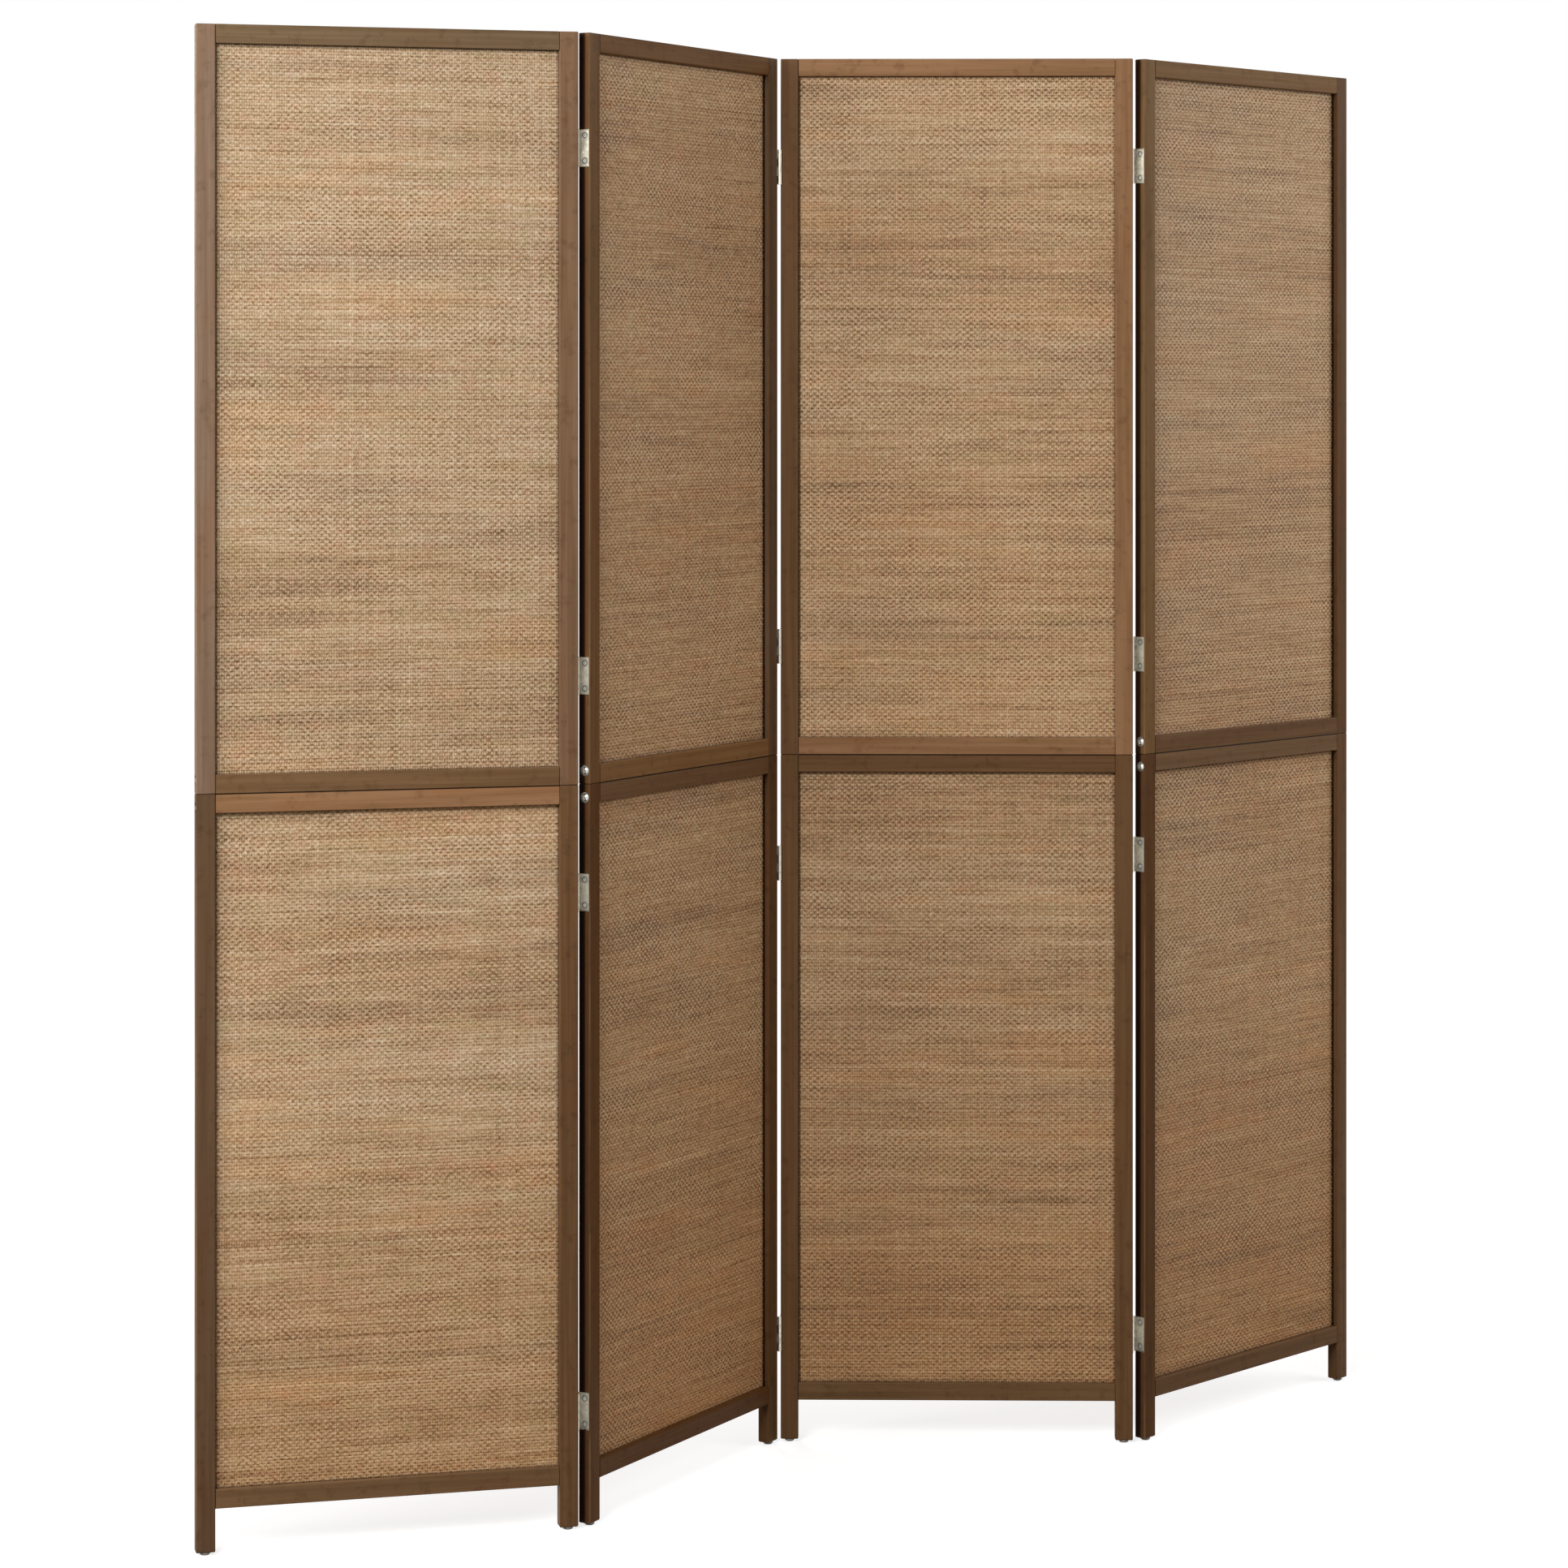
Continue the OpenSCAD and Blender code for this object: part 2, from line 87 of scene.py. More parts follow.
class Graph:
    """A material's node tree, with short calls for the nodes it is built from."""

    def __init__(self, name):
        self.mat = bpy.data.materials.new(name)
        self.mat.use_nodes = True
        self.tree = self.mat.node_tree
        self.bsdf = self.tree.nodes["Principled BSDF"]

    def link(self, value, socket):
        if isinstance(value, bpy.types.NodeSocket):
            self.tree.links.new(value, socket)
        elif value is not None:
            socket.default_value = value

    def node(self, kind, **settings):
        n = self.tree.nodes.new(kind)
        for key, value in settings.items():
            setattr(n, key, value)
        return n

    def place(self, location=(0, 0, 0), rotation=(0, 0, 0), scale=(1, 1, 1), vector=None, kind="POINT"):
        n = self.node("ShaderNodeMapping", vector_type=kind)
        n.inputs["Location"].default_value = location
        n.inputs["Rotation"].default_value = rotation
        n.inputs["Scale"].default_value = scale
        if vector is None:
            vector = self.node("ShaderNodeTexCoord").outputs["Object"]
        self.link(vector, n.inputs["Vector"])
        return n.outputs["Vector"]

    def axes(self, vector):
        n = self.node("ShaderNodeSeparateXYZ")
        self.link(vector, n.inputs[0])
        return n.outputs

    def noise(self, vector, detail=2.0, roughness=0.5, distortion=0.0):
        n = self.node("ShaderNodeTexNoise")
        self.link(vector, n.inputs["Vector"])
        n.inputs["Scale"].default_value = 1.0
        n.inputs["Detail"].default_value = detail
        n.inputs["Roughness"].default_value = roughness
        n.inputs["Distortion"].default_value = distortion
        return n.outputs["Fac"]

    def math(self, operation, a, b=None, clamp=False):
        n = self.node("ShaderNodeMath", operation=operation, use_clamp=clamp)
        self.link(a, n.inputs[0])
        self.link(b, n.inputs[1])
        return n.outputs[0]

    def add(self, a, b, clamp=False):
        return self.math("ADD", a, b, clamp)

    def sub(self, a, b):
        return self.math("SUBTRACT", a, b)

    def mul(self, a, b):
        return self.math("MULTIPLY", a, b)

    def away(self, a, b):
        """How far a is from b."""
        return self.math("ABSOLUTE", self.sub(a, b))

    def span(self, value, low, high, to_low=0.0, to_high=1.0, smooth=True):
        kind = "SMOOTHSTEP" if smooth else "LINEAR"
        n = self.node("ShaderNodeMapRange", interpolation_type=kind)
        self.link(value, n.inputs["Value"])
        n.inputs["From Min"].default_value = low
        n.inputs["From Max"].default_value = high
        n.inputs["To Min"].default_value = to_low
        n.inputs["To Max"].default_value = to_high
        return n.outputs["Result"]

    def mix(self, factor, a, b, blend="MIX"):
        n = self.node("ShaderNodeMix", data_type="RGBA", blend_type=blend)
        self.link(factor, n.inputs["Factor"])
        self.link(a, n.inputs[6])
        self.link(b, n.inputs[7])
        return n.outputs[2]

    def paint(self, factor, colour, *rgb):
        """The colour covered with another one."""
        return self.mix(factor, colour, srgb(*rgb))

    def tint(self, factor, colour, *rgb):
        """The colour multiplied by another one."""
        return self.mix(factor, colour, srgb(*rgb), "MULTIPLY")

    def ramp(self, factor, stops):
        n = self.node("ShaderNodeValToRGB")
        bar = n.color_ramp
        while len(bar.elements) < len(stops):
            bar.elements.new(0.5)
        for element, (at, colour) in zip(bar.elements, stops):
            element.position = at
            element.color = colour
        self.link(factor, n.inputs[0])
        return n.outputs[0]

    def attribute(self, name):
        return self.node("ShaderNodeAttribute", attribute_name=name).outputs["Fac"]

    def bump(self, height, distance, strength=1.0):
        n = self.node("ShaderNodeBump")
        n.inputs["Strength"].default_value = strength
        n.inputs["Distance"].default_value = distance
        self.link(height, n.inputs["Height"])
        return n.outputs["Normal"]

    def finish(self, colour, roughness, normal, **constants):
        self.link(colour, self.bsdf.inputs["Base Color"])
        self.link(roughness, self.bsdf.inputs["Roughness"])
        self.link(normal, self.bsdf.inputs["Normal"])
        for key, value in constants.items():
            self.bsdf.inputs[key.replace("_", " ")].default_value = value
        return self.mat


# ---------------------------------------------------------------- the mats' shape

# A weft's height as a share of the pitch, and its half thickness
WEFT_FILL = 0.98
WEFT_HALF = (0.13, 0.19)
WEFT_STEPS = 44
# How the pitch swells and shrinks: its slow wave's turn for each weft, and its share of the pitch
SWELL_TURN, SWELL = 0.045, 0.05
# How often a weft is dark or pale, and how often a thin sliver lies between two
DARK_WEFT, PALE_WEFT, SLIVER = 0.07, 0.08, 0.05
# The spread of the wefts' tones, and what takes a dark or pale one away from the middle
TONE_SPREAD = 0.06
DARKER, PALER = (0.10, 0.24), (0.08, 0.18)
TONE_LEAST, TONE_MOST = 0.03, 0.97
SLIVER_TONE = (0.1, 0.3)
SLIVER_HIGH, SLIVER_HALF = 1.6, 0.10
# The room that a sliver takes, and how far up in it the sliver lies
SLIVER_ROOM, SLIVER_RISE = 0.85, 0.42
# The thin core that closes the slits of the weave from behind, toned dark as painted shade in the slits, and
# how far it goes past the wefts
CORE_HALF = 0.06
CORE_SHADE_TONE = 0.2
CORE_PAST = 1.5
# How far the warps stand off the middle, and their half width and half thickness
WARP_CREST = 0.26
WARP_HALF_W = 1.45
WARP_HALF_T = 0.20
# How much of those, and of a weft's thickness, each place gets
CREST_VARY, WIDE_VARY, THICK_VARY, WEFT_VARY = (0.75, 1.18), (0.86, 1.05), (0.85, 1.05), (0.9, 1.08)
# The spread of the warps' tones, from one to the next and along each
WARP_TONES, WARP_TONE_ALONG = 0.07, 0.12
# How far the warps' ends go past the outer wefts
WARP_PAST = 1.2
# How far warps and wefts stray from their places
WARP_LEAN, WARP_LEAN_WAVES = 0.75, (23, 41, 67)
WARP_STRAY_X, WARP_STRAY_X_MOST = 0.20, 0.45
WARP_STRAY_Z = 0.62
WEFT_WANDER, WEFT_WANDER_MOST = 0.08, 0.36
WEFT_STRAY = 0.24
# A section as (along, out) points: a weft's from its middle height, a warp's from its middle width
WEFT_SECTION = ((0.5, 0), (0.3, -1), (-0.3, -1), (-0.5, 0), (-0.3, 1), (0.3, 1))
WARP_SECTION = ((-1, 0), (0, -1), (1, 0), (0, 1))


def lay_rows(rng, low, high):
    """The wefts from low to high: (z, height, half thickness, tone, not a sliver) for each."""
    rows, z, slow = [], low + 0.5 * WEFT_PITCH, rng.rand() * 6.3
    while z < high - 0.45 * WEFT_PITCH:
        slow += SWELL_TURN
        pitch = WEFT_PITCH * (1 + SWELL * math.sin(slow) + rng.uniform(-SWELL, SWELL))
        draw = rng.rand()
        tone = rng.normal(0.5, TONE_SPREAD)
        if draw < DARK_WEFT:
            tone -= rng.uniform(*DARKER)
        elif draw > 1 - PALE_WEFT:
            tone += rng.uniform(*PALER)
        tone = min(max(tone, TONE_LEAST), TONE_MOST)
        rows.append((z, pitch * WEFT_FILL, rng.uniform(*WEFT_HALF), tone, True))
        z += pitch
        if rng.rand() < SLIVER:
            middle = z - pitch / 2 + SLIVER_RISE
            rows.append((middle, SLIVER_HIGH, SLIVER_HALF, rng.uniform(*SLIVER_TONE), False))
            z += SLIVER_ROOM
    return rows


def tubes(name, rings, **values):
    """A mesh of closed tubes.

    rings has shape (tubes, rings, sides, 3) in millimetres, and each value has (tubes, rings).
    """
    count, length, sides = rings.shape[:3]
    me = bpy.data.meshes.new(name)
    me.vertices.add(count * length * sides)
    me.vertices.foreach_set("co", (rings * MM).astype(np.float32).ravel())
    index = np.arange(count * length * sides).reshape(count, length, sides)
    a = index[:, :-1]
    b = index[:, 1:]
    walls = np.stack((a, np.roll(a, -1, 2), np.roll(b, -1, 2), b), -1).reshape(-1, 4)
    caps = np.concatenate((index[:, 0, ::-1], index[:, -1]))
    corners = np.concatenate((walls.ravel(), caps.ravel())).astype(np.int32)
    sizes = np.concatenate((np.full(len(walls), 4), np.full(len(caps), sides))).astype(np.int32)
    starts = np.concatenate(([0], np.cumsum(sizes)[:-1])).astype(np.int32)
    me.loops.add(len(corners))
    me.loops.foreach_set("vertex_index", corners)
    me.polygons.add(len(sizes))
    me.polygons.foreach_set("loop_start", starts)
    me.polygons.foreach_set("loop_total", sizes)
    me.update(calc_edges=True)
    for key, value in values.items():
        layer = me.attributes.new(key, "FLOAT", "POINT")
        layer.data.foreach_set("value", np.repeat(value.astype(np.float32).ravel(), sides))
    return me


def weft_mesh(name, rng, rows):
    """Split bamboo sticks lying across the mat, each touching the next."""
    shape = (len(rows), WEFT_STEPS + 1)
    z, high, half, tone = (np.array([r[k] for r in rows])[:, None] for k in range(4))
    wander = np.cumsum(rng.normal(0, WEFT_WANDER, shape), 1)
    wander -= wander.mean(1, keepdims=True)
    z = z + np.clip(wander, -WEFT_WANDER_MOST, WEFT_WANDER_MOST) + rng.uniform(-WEFT_STRAY, WEFT_STRAY, shape)
    half = half * rng.uniform(*WEFT_VARY, shape)
    tone = np.broadcast_to(tone, shape)
    x = np.broadcast_to(np.linspace(*MAT_X, WEFT_STEPS + 1), shape)
    sticks = np.stack([
        np.stack((x, MAT_Y + out * half, z + up * high), -1)
        for up, out in WEFT_SECTION
    ], 2)
    # A thin sheet behind the sticks; its dark tone is painted shade in the slits between them
    low, top = rows[0][0] - CORE_PAST, rows[-1][0] + CORE_PAST
    level = np.ones(shape[1])
    core = np.stack([
        np.stack((x[0], (MAT_Y + out * CORE_HALF) * level, ((low + top) / 2 + up * (top - low)) * level), -1)
        for up, out in WEFT_SECTION
    ], 1)
    tones = np.concatenate((tone, np.full((1, shape[1]), CORE_SHADE_TONE)))
    return tubes(name, np.concatenate((sticks, core[None])), tone=tones)


def warp_mesh(name, rng, rows, columns, phase):
    """Flat strands running up the mat, over one weft and under the next, in pairs."""
    z = np.array([r[0] for r in rows if r[4]])
    shape = n, m = len(columns), len(z)
    side = np.where((np.arange(m) + phase) % 2 == 0, -1.0, 1.0)[None]
    crest = WARP_CREST * rng.uniform(*CREST_VARY, shape)
    wave, bend, swell = WARP_LEAN_WAVES
    lean = np.sin(columns[:, None] / wave + 2 * np.sin(z[None] / bend + phase)) * np.sin(z[None] / swell + 1)
    stray = np.clip(rng.normal(0, WARP_STRAY_X, shape), -WARP_STRAY_X_MOST, WARP_STRAY_X_MOST)
    across = columns[:, None] + side * WARP_LEAN * lean + stray
    y = MAT_Y + side * crest
    wide = WARP_HALF_W * rng.uniform(*WIDE_VARY, shape)
    thick = WARP_HALF_T * rng.uniform(*THICK_VARY, shape)
    z = z[None] + rng.uniform(-WARP_STRAY_Z, WARP_STRAY_Z, shape)
    z[:, 0], z[:, -1] = rows[0][0] - WARP_PAST, rows[-1][0] + WARP_PAST
    tone = np.clip(rng.normal(0.5, WARP_TONES, (n, 1)) + rng.normal(0, WARP_TONE_ALONG, shape), 0, 1)
    strands = np.stack([
        np.stack((across + along * wide, y + out * thick, z), -1)
        for along, out in WARP_SECTION
    ], 2)
    return tubes(name, strands, tone=tone, row=np.broadcast_to(np.arange(m), shape))


# ---------------------------------------------------------------- the mats' bamboo

# The colour for each tone, from a dark stick to a pale one
BAMBOO = (
    (0.0, srgb(132, 98, 62)),
    (0.38, srgb(186, 154, 116)),
    (0.62, srgb(206, 179, 145)),
    (1.0, srgb(236, 218, 192)),
)
# Noises that shift the tone: scale, detail, roughness, the most down and up
TONE_NOISES = (
    ((14, 40, 270), 3.0, 0.6, -0.22, 0.20),
    ((6, 1, 100), 2.0, 0.6, -0.14, 0.12),
    ((2.6, 1, 22), 3.0, 0.65, -0.12, 0.10),
)
# How warm and how dark each mat is painted: warm light and shade set mat by mat for where its panel stands in
# the light
MAT_WARMTH_AND_SHADE = {
    (1, "upper"): (0.00, 0.21),
    (1, "lower"): (0.00, 0.00),
    (2, "upper"): (0.94, 0.00),
    (2, "lower"): (1.00, 0.01),
    (3, "upper"): (0.46, 0.00),
    (3, "lower"): (0.54, 0.12),
    (4, "upper"): (0.72, 0.00),
    (4, "lower"): (0.90, 0.00),
}
# How strongly each panel's weave shows slanting strokes, and knots of twill
STROKES = {1: 0.16, 2: 0.32, 3: 0.18, 4: 0.32}
TWILL = {1: 0.72, 2: 1.00, 3: 0.76, 4: 1.00}
# Painted shade and warm floor light at a mat's foot, as a tint that fades out upwards over this height in
# metres
FOOT_SHADE_TINT = {"upper": (255, 250, 244), "lower": (246, 228, 204)}
FOOT_SHADE_FADE = 0.55
# How dark the painted shade in the pits beside the strands' crossings is, and how strong the painted
# highlight on the crowns
PIT_SHADE = 0.85
CROWN_HIGHLIGHTS = {"upper": 0.46, "lower": 0.34}
CROWN_HIGHLIGHT_RGB = (244, 222, 190)


class Bamboo(Graph):
    """The material of one mat's wefts or warps, in the panel's own frame."""

    def __init__(self, name, seed, p, part):
        super().__init__(name)
        self.seed, self.p, self.part = seed, p, part
        self.offset = tuple(np.random.RandomState(seed).uniform(-5, 5, 3))
        self.local = self.node("ShaderNodeTexCoord").outputs["Object"]
        self.x, self.y, self.z = self.axes(self.local)

    def cloud(self, scale, detail=2.0, roughness=0.5, vector=None):
        place = self.place(self.offset, scale=scale, vector=self.local if vector is None else vector)
        return self.noise(place, detail, roughness)

    def wave(self, axis, length, phase=None):
        """A cosine of this length, in millimetres, along one axis."""
        turn = self.mul(axis, 2 * math.pi / (length * MM))
        return self.math("COSINE", turn if phase is None else self.add(turn, phase))

    def body(self):
        """The bamboo's own colour: sticks of many tones, in bands, with reddish and green blots."""
        value = self.attribute("tone")
        for scale, detail, roughness, down, up in TONE_NOISES:
            band = self.cloud(scale, detail, roughness)
            value = self.add(value, self.span(band, 0.3, 0.7, down, up, smooth=False))
        broad = self.cloud((1.4, 1, 7.5))
        value = self.add(value, self.span(broad, 0.32, 0.68, -0.08, 0.08, smooth=False), clamp=True)
        colour = self.ramp(value, BAMBOO)
        blot = self.cloud((9, 1, 34))
        colour = self.paint(self.span(blot, 0.58, 0.76, 0, 0.20), colour, 204, 146, 108)
        colour = self.paint(self.span(blot, 0.44, 0.28, 0, 0.25), colour, 182, 164, 112)
        hue = self.cloud((46, 1, 70), 2.0, 0.55)
        colour = self.paint(self.span(hue, 0.55, 0.72, 0, 0.30), colour, 206, 146, 116)
        colour = self.paint(self.span(hue, 0.45, 0.28, 0, 0.30), colour, 176, 164, 116)
        # The last of the tone's noises, the bands, is also golden one way and greyish the other
        colour = self.tint(self.span(band, 0.53, 0.66, 0, 0.55), colour, 255, 232, 204)
        colour = self.tint(self.span(band, 0.47, 0.34, 0, 0.55), colour, 234, 238, 248)
        return self.tint(self.span(broad, 0.50, 0.32, 0, 0.34), colour, 252, 232, 214)

    def slanting(self, way):
        """Noise drawn out along one of the weave's diagonals, as they look in the zigzag."""
        level = self.place(scale=(math.cos(math.radians(TURN[self.p])), 1, 1), vector=self.local)
        turned = self.place(rotation=(0, way * math.pi / 4, 0), vector=level)
        return self.cloud((480, 1, 150), 2.0, 0.55, turned)

    def figure(self, colour):
        """The weave's figure: pale knots of twill with dark dots between, and slanting strokes."""
        drift = self.mul(self.sub(self.cloud((60, 1, 60)), 0.5), 5.0)
        across = self.wave(self.x, 3 * WARP_PITCH, drift)
        up = self.wave(self.z, 2 * WEFT_PITCH, self.mul(drift, -1.0))
        knots = self.mul(across, up)
        most = TWILL[self.p]
        twill = self.span(self.cloud((7, 1, 15)), 0.36, 0.64, 0.45 * most, most)
        colour = self.paint(self.mul(twill, self.span(knots, 0.30, 0.90, 0.0, 0.7)), colour, 242, 222, 196)
        colour = self.tint(self.mul(twill, self.span(knots, -0.35, -0.85)), colour, 110, 82, 58)
        zone = self.span(self.cloud((16, 1, 22)), 0.44, 0.56)
        rising, falling = self.slanting(1), self.slanting(-1)
        stroke = self.add(rising, self.mul(zone, self.sub(falling, rising)))
        much = STROKES[self.p]
        colour = self.tint(self.span(stroke, 0.50, 0.68, 0, much), colour, 164, 138, 112)
        return self.paint(self.span(stroke, 0.48, 0.32, 0, much * 0.85), colour, 238, 216, 186)

    def setting(self, colour, darkness, fibre):
        """The mat's painted shade towards its foot, its painted darkness and its fibres, and a painted shadow
        line along the frame.
        """
        foot_z = MAT_Z[self.part][0] * MM
        foot_shade = self.span(self.z, foot_z, foot_z + FOOT_SHADE_FADE, 1.0, 0.0, smooth=False)
        colour = self.tint(foot_shade, colour, *FOOT_SHADE_TINT[self.part])
        colour = self.tint(darkness, colour, 150, 150, 150)
        colour = self.paint(self.span(fibre, 0.3, 0.7, 0, 0.16, smooth=False), colour, 120, 84, 52)
        # A painted shadow line on the mat where it meets the stiles and rails
        low, high = MAT_Z[self.part][0] + RAIL_GROOVE, MAT_Z[self.part][1] - RAIL_GROOVE
        frame_shadow = self.sub(self.x, STILE_W * MM)
        for gap in (
            self.sub((PANEL_W - STILE_W) * MM, self.x),
            self.sub(self.z, low * MM),
            self.sub(high * MM, self.z),
        ):
            frame_shadow = self.math("MINIMUM", frame_shadow, gap)
        return self.tint(self.span(frame_shadow, 0.2 * MM, 2.6 * MM, 0.7, 0.0), colour, 120, 92, 66)

    def painted_pits(self, colour):
        """Painted shade in the pits beside every second crossing, darker where a strand faces down, some of
        them deep.
        """
        row = self.attribute("row")
        gap = self.span(self.away(row, self.math("ROUND", row)), 0.12, 0.34)
        # Strands facing down get more of this painted shade, as if lit from above
        facing = self.axes(self.node("ShaderNodeNewGeometry").outputs["Normal"])[2]
        under = self.mul(gap, self.span(facing, 0.25, -0.10, 0.45, 1.0))
        step = self.math("DIVIDE", self.sub(self.x, WARP_X[0] * MM), WARP_PITCH * MM)
        column = self.math("ROUND", step)
        cell = self.node("ShaderNodeCombineXYZ")
        self.link(column, cell.inputs[0])
        self.link(self.math("FLOOR", row), cell.inputs[1])
        cell.inputs[2].default_value = self.seed
        chance = self.node("ShaderNodeTexWhiteNoise", noise_dimensions="3D")
        self.link(cell.outputs[0], chance.inputs["Vector"])
        chance = self.span(chance.outputs["Value"], 0.35, 0.85)
        middle = self.span(self.wave(self.x, WARP_PITCH, WARP_PHASE), -0.75, 0.45)
        second = self.math("MODULO", self.add(column, self.math("FLOOR", row)), 2.0)
        middle = self.mul(middle, self.span(second, 0.0, 1.0, 1.0, 0.12))
        upward = self.span(self.cloud((170, 1, 12)), 0.42, 0.66)
        across = self.span(self.cloud((9, 1, 120)), 0.45, 0.70)
        pit_shade = self.add(self.mul(chance, 0.75), self.mul(upward, 0.35))
        pit_shade = self.add(pit_shade, self.mul(across, 0.25), clamp=True)
        pit_shade = self.mul(self.mul(pit_shade, self.mul(under, middle)), PIT_SHADE)
        return self.tint(pit_shade, colour, 140, 110, 80)

    def crossing(self, colour, strand):
        """The light and shade of the crossings, by the depth from the weave's middle."""
        depth = self.away(self.y, MAT_Y * MM)
        pale = CROWN_HIGHLIGHTS[self.part]
        if strand:
            colour = self.painted_pits(colour)
            # A painted highlight on the strands' crowns
            colour = self.paint(self.span(depth, 0.24 * MM, 0.48 * MM, 0.0, pale), colour, *CROWN_HIGHLIGHT_RGB)
            shade = self.span(depth, 0.02 * MM, 0.20 * MM, 0.95, 1.0)
        else:
            # Painted highlight on the wefts where the strands' columns stand, painted shade between the
            # columns
            ridge = self.span(self.wave(self.x, WARP_PITCH, WARP_PHASE), -1, 1)
            ridge = self.mul(ridge, self.span(depth, 0.06 * MM, 0.15 * MM))
            colour = self.paint(self.span(ridge, 0.0, 0.5, 0.16, 0.0), colour, 160, 120, 82)
            colour = self.paint(self.span(ridge, 0.45, 1.0, 0.0, pale), colour, *CROWN_HIGHLIGHT_RGB)
            shade = self.span(depth, 0.02 * MM, 0.10 * MM, 0.93, 1.0)
        return self.mix(shade, self.tint(1.0, colour, 96, 62, 38), colour)


def bamboo(name, seed, p, part, strand):
    """Bamboo of one mat: strand is true for the warps, and false for the wefts."""
    g = Bamboo(name, seed, p, part)
    warmth, darkness = MAT_WARMTH_AND_SHADE[p, part]
    fibre = g.cloud((2600, 2600, 300) if strand else (300, 2600, 2600), 2.0, 0.6)
    # Painted warm light for this mat
    colour = g.tint(warmth, g.body(), 246, 226, 196)
    colour = g.setting(g.figure(colour), darkness, fibre)
    colour = g.crossing(colour, strand)
    rough = g.span(fibre, 0.3, 0.7, 0.55, 0.75, smooth=False)
    return g.finish(colour, rough, g.bump(fibre, 0.00008, 0.5), Specular_IOR_Level=0.25)


def build_mat(p, part):
    """Wefts and two sets of warps in place of one of the CAD's mats."""
    node = f"panel_{p}_{part}_mat"
    seed = 100 * p + (7 if part == "upper" else 31)
    rng = np.random.RandomState(seed)
    rows = lay_rows(rng, *MAT_Z[part])
    weft_look = bamboo(f"bamboo_{p}_{part}_weft", seed, p, part, strand=False)
    warp_look = bamboo(f"bamboo_{p}_{part}_warp", seed, p, part, strand=True)
    pair = (np.arange(WARPS) // 2) % 2
    made = [(weft_mesh(f"{node}_wefts", rng, rows), weft_look)]
    for k, letter in enumerate("ab"):
        me = warp_mesh(f"{node}_warps_{letter}", rng, rows, WARP_X[pair == k], k)
        me.shade_flat()
        made.append((me, warp_look))
    for me, look in made:
        me.materials.append(look)
        ob = bpy.data.objects.new(me.name, me)
        bpy.context.scene.collection.objects.link(ob)
        ob.matrix_world = panel_matrix(p)
        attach(ob, f"panel_{p}")
        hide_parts(node)


# ---------------------------------------------------------------- wood

WOODS = {
    "grey": (137, 114, 95),
    "olive": (122, 102, 77),
    "tan": (133, 103, 79),
    "pale": (156, 118, 85),
    "honey": (137, 101, 64),
    "brown": (114, 84, 57),
    "umber": (124, 96, 68),
    "walnut": (106, 82, 61),
    "dark": (103, 73, 46),
    "russet": (94, 61, 28),
    "amber": (116, 82, 47),
    "moss": (128, 96, 59),
}
# The stain of each section's left stile, right stile, top rail and bottom rail
PIECES = ("left_stile", "right_stile", "top_rail", "bottom_rail")
STAINS = {
    (1, "upper"): "grey tan olive umber",
    (1, "lower"): "walnut brown pale umber",
    (2, "upper"): "amber walnut amber honey",
    (2, "lower"): "russet dark brown russet",
    (3, "upper"): "brown pale pale pale",
    (3, "lower"): "brown brown brown umber",
    (4, "upper"): "moss dark moss brown",
    (4, "lower"): "russet brown umber brown",
}
# Noise scales with the grain up a stile and along a rail: pores, grain and stain
GRAIN_UP = ((900, 900, 9), (130, 130, 3.0), (30, 30, 5.0))
GRAIN_ALONG = ((9, 900, 900), (3.0, 130, 130), (5.0, 30, 30))


def panel_vector(g, p):
    """A CAD node's coordinates in its panel's own frame."""
    x, y = CORNER[p]
    return g.place((x, y, 0), (0, 0, math.radians(TURN[p])), kind="TEXTURE")


def stile_marks(g, colour, x, y, seam, stain, side, p):
    """The seam's line, dust on the fold's edge, and painted shadow and a painted highlight on a stile's
    edges.
    """
    colour = g.paint(g.span(seam, 0.2 * MM, 0.7 * MM, 0.7, 0.0), colour, 40, 30, 24)
    if side == "left_stile" and p in (2, 4):
        # The edge inside the fold is a little dusty, and its back is darkened as painted shadow of the fold
        fold = g.span(x, 0.9 * MM, 1.6 * MM, 1.0, 0.0)
        colour = g.paint(g.mul(fold, 0.08), colour, 110, 105, 108)
        colour = g.tint(g.mul(fold, g.span(y, 5.0 * MM, 8.5 * MM)), colour, 112, 94, 84)
    # A painted highlight along the front arris, broken up by the stain's noise
    arris = (0.6 if side == "left_stile" else PANEL_W - 0.6) * MM
    near = g.span(g.away(x, arris), 0.5 * MM, 0.9 * MM, 1.0, 0.0)
    near = g.mul(near, g.span(y, 0.9 * MM, 1.4 * MM, 1.0, 0.0))
    return g.paint(g.mul(near, g.span(stain, 0.42, 0.62, 0.0, 0.34)), colour, 160, 130, 88)


def rail_marks(g, colour, x, seam):
    """The dark line of the seam, and those where the rail meets the stiles."""
    colour = g.paint(g.span(seam, 0.5 * MM, 1.2 * MM, 0.92, 0.0), colour, 30, 20, 15)
    inside = g.math("MINIMUM", g.sub(x, STILE_W * MM), g.sub((PANEL_W - STILE_W) * MM, x))
    return g.paint(g.span(inside, 0.2 * MM, 0.9 * MM, 0.85, 0.0), colour, 36, 24, 18)


